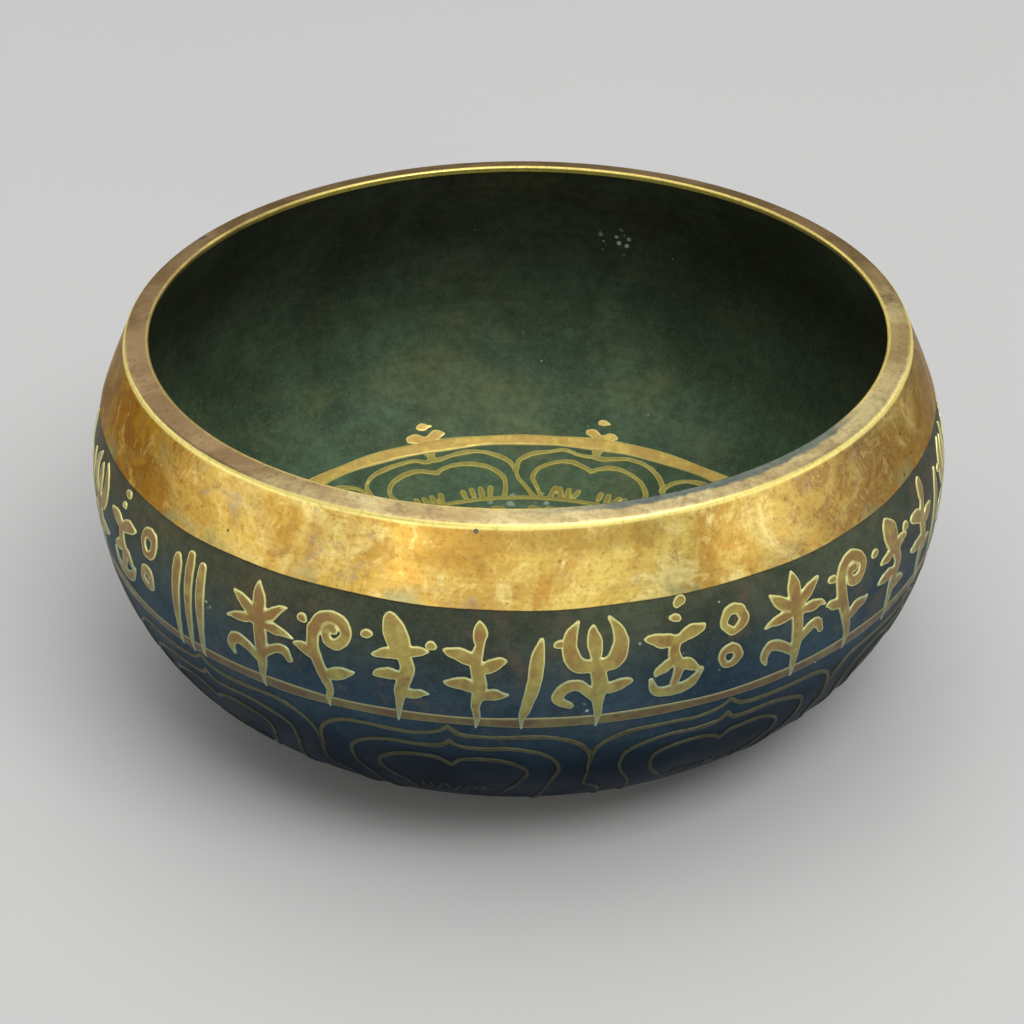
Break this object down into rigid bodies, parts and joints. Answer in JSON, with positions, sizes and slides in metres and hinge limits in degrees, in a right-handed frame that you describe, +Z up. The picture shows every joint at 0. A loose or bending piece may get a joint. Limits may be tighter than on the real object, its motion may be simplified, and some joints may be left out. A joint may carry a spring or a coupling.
{
  "type": "singing bowl",
  "caption": "Round cast brass singing bowl with a flat lip, full belly and flat base, darkened by etching around a polished rim band, a brush-style frieze and lotus petals.",
  "frame": {"origin": "centre of the flat base that the bowl stands on", "axes": "+Z up along the axis the bowl is turned about; the mouth faces +Z"},
  "size_m": [0.1694, 0.1694, 0.0756],
  "materials": {
    "patinated_brass": "etched and chemically darkened, satin",
    "polished_brass": "turned and polished, dulled and mottled with age"
  },
  "bodies": {
    "root": {"bowl": "patinated_brass"}
  },
  "joints": []
}
